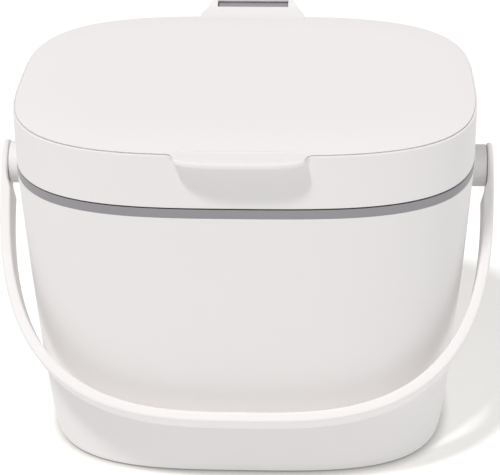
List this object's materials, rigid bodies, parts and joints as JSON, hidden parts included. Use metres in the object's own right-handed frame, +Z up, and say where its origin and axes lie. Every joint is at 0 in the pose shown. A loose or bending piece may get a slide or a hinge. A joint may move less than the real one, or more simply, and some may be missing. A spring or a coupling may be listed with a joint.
{
  "type": "compost caddy with hinged lid",
  "caption": "Deep rounded kitchen compost caddy with a hollow hinged lid, a front finger tab, a thin rim frame that carries the rear hinge, and a wide swinging strap handle.",
  "frame": {"origin": "centre of the tub's flat base, on the worktop", "axes": "+X to the right across the width, along both pivots; -Y to the front, where the tab is; +Z up"},
  "size_m": [0.2802, 0.2349, 0.2131],
  "materials": {
    "white_plastic": "smooth satin white polypropylene",
    "grey_plastic": "fine matt grey polypropylene",
    "seal_rubber": "soft matt grey silicone",
    "pin_steel": "drawn wire"
  },
  "bodies": {
    "caddy": {"bucket_body": "white_plastic", "rim_frame": "grey_plastic", "rim_gasket": "seal_rubber", "hinge_pin": "pin_steel", "handle_pin_left": "white_plastic", "handle_pin_right": "white_plastic"},
    "lid": {"lid_shell": "white_plastic", "lid_liner": "white_plastic", "lid_gasket": "seal_rubber"},
    "handle": {"carry_handle": "white_plastic"}
  },
  "joints": [
    {"name": "lid_hinge", "type": "hinge", "parent": "caddy", "child": "lid", "pos_m": [0, 0.1128, 0.2039], "axis": [-1, 0, 0], "range_deg": [0, 110]},
    {"name": "handle_swing", "type": "hinge", "parent": "caddy", "child": "handle", "pos_m": [0, 0, 0.1544], "axis": [-1, 0, 0], "range_deg": [0, 273]}
  ]
}
